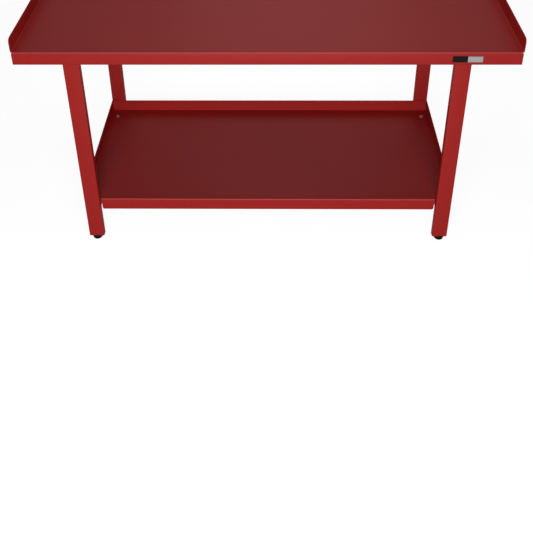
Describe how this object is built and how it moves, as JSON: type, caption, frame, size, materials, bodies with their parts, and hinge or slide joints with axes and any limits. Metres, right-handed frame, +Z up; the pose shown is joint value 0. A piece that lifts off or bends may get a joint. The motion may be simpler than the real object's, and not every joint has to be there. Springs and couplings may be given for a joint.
{
  "type": "assembly table",
  "caption": "Free-standing sheet-steel workshop bench: a lipped top tray on rectangular tube legs, a lower shelf tray between the legs and screw-in levelling feet.",
  "frame": {"origin": "on the floor under the middle of the table", "axes": "+X to the right seen from the front, along the length of the top, +Y to the rear, +Z up"},
  "size_m": [1.829, 0.7635, 0.9148],
  "materials": {
    "powder_coat": "satin red powder coat on folded steel",
    "zinc": "bright zinc plate",
    "foot_black": "moulded black nylon",
    "sole_rubber": "matt black rubber",
    "badge_black": "black lacquered plate, bare",
    "badge_silver": "satin silver panel, bare"
  },
  "bodies": {
    "table": {"top_tray": "powder_coat", "badge_plate": "badge_black", "badge_panel": "badge_silver", "front_top_stiffener": "powder_coat", "rear_top_stiffener": "powder_coat", "left_upper_rail": "powder_coat", "right_upper_rail": "powder_coat", "left_lower_rail": "powder_coat", "right_lower_rail": "powder_coat", "shelf_tray": "powder_coat", "shelf_stiffener": "powder_coat", "front_left_leg": "powder_coat", "front_right_leg": "powder_coat", "rear_left_leg": "powder_coat", "rear_right_leg": "powder_coat", "front_left_foot_plate": "powder_coat", "front_right_foot_plate": "powder_coat", "rear_left_foot_plate": "powder_coat", "rear_right_foot_plate": "powder_coat", "front_left_weld_nut": "zinc", "front_right_weld_nut": "zinc", "rear_left_weld_nut": "zinc", "rear_right_weld_nut": "zinc", "front_left_top_stud": "zinc", "front_right_top_stud": "zinc", "rear_left_top_stud": "zinc", "rear_right_top_stud": "zinc", "front_left_top_nut": "zinc", "front_right_top_nut": "zinc", "rear_left_top_nut": "zinc", "rear_right_top_nut": "zinc", "front_left_shelf_bolt": "zinc", "front_right_shelf_bolt": "zinc", "rear_left_shelf_bolt": "zinc", "rear_right_shelf_bolt": "zinc", "front_left_shelf_washer": "zinc", "front_right_shelf_washer": "zinc", "rear_left_shelf_washer": "zinc", "rear_right_shelf_washer": "zinc", "front_left_shelf_nut": "zinc", "front_right_shelf_nut": "zinc", "rear_left_shelf_nut": "zinc", "rear_right_shelf_nut": "zinc"},
    "front_left_pad": {"front_left_foot_sole": "sole_rubber"},
    "front_left_screw": {"front_left_foot_base": "foot_black", "front_left_foot_stud": "zinc"},
    "front_right_pad": {"front_right_foot_sole": "sole_rubber"},
    "front_right_screw": {"front_right_foot_base": "foot_black", "front_right_foot_stud": "zinc"},
    "rear_left_pad": {"rear_left_foot_sole": "sole_rubber"},
    "rear_left_screw": {"rear_left_foot_base": "foot_black", "rear_left_foot_stud": "zinc"},
    "rear_right_pad": {"rear_right_foot_sole": "sole_rubber"},
    "rear_right_screw": {"rear_right_foot_base": "foot_black", "rear_right_foot_stud": "zinc"}
  },
  "joints": [
    {"name": "front_left_foot_height", "type": "slide", "parent": "table", "child": "front_left_pad", "axis": [0, 0, 1], "range_m": [-0.02, 0]},
    {"name": "front_left_foot_turn", "type": "hinge", "parent": "front_left_pad", "child": "front_left_screw", "pos_m": [-0.705, -0.361, 0.009], "axis": [0, 0, 1], "range_deg": [-4790, 0]},
    {"name": "front_right_foot_height", "type": "slide", "parent": "table", "child": "front_right_pad", "axis": [0, 0, 1], "range_m": [-0.02, 0]},
    {"name": "front_right_foot_turn", "type": "hinge", "parent": "front_right_pad", "child": "front_right_screw", "pos_m": [0.705, -0.361, 0.009], "axis": [0, 0, 1], "range_deg": [-4790, 0]},
    {"name": "rear_left_foot_height", "type": "slide", "parent": "table", "child": "rear_left_pad", "axis": [0, 0, 1], "range_m": [-0.02, 0]},
    {"name": "rear_left_foot_turn", "type": "hinge", "parent": "rear_left_pad", "child": "rear_left_screw", "pos_m": [-0.705, 0.361, 0.009], "axis": [0, 0, 1], "range_deg": [-4790, 0]},
    {"name": "rear_right_foot_height", "type": "slide", "parent": "table", "child": "rear_right_pad", "axis": [0, 0, 1], "range_m": [-0.02, 0]},
    {"name": "rear_right_foot_turn", "type": "hinge", "parent": "rear_right_pad", "child": "rear_right_screw", "pos_m": [0.705, 0.361, 0.009], "axis": [0, 0, 1], "range_deg": [-4790, 0]}
  ],
  "couplings": [
    {"joint": "front_left_foot_height", "follows": "front_left_foot_turn", "m_per_rad": 0.00023873},
    {"joint": "front_right_foot_height", "follows": "front_right_foot_turn", "m_per_rad": 0.00023873},
    {"joint": "rear_left_foot_height", "follows": "rear_left_foot_turn", "m_per_rad": 0.00023873},
    {"joint": "rear_right_foot_height", "follows": "rear_right_foot_turn", "m_per_rad": 0.00023873}
  ]
}
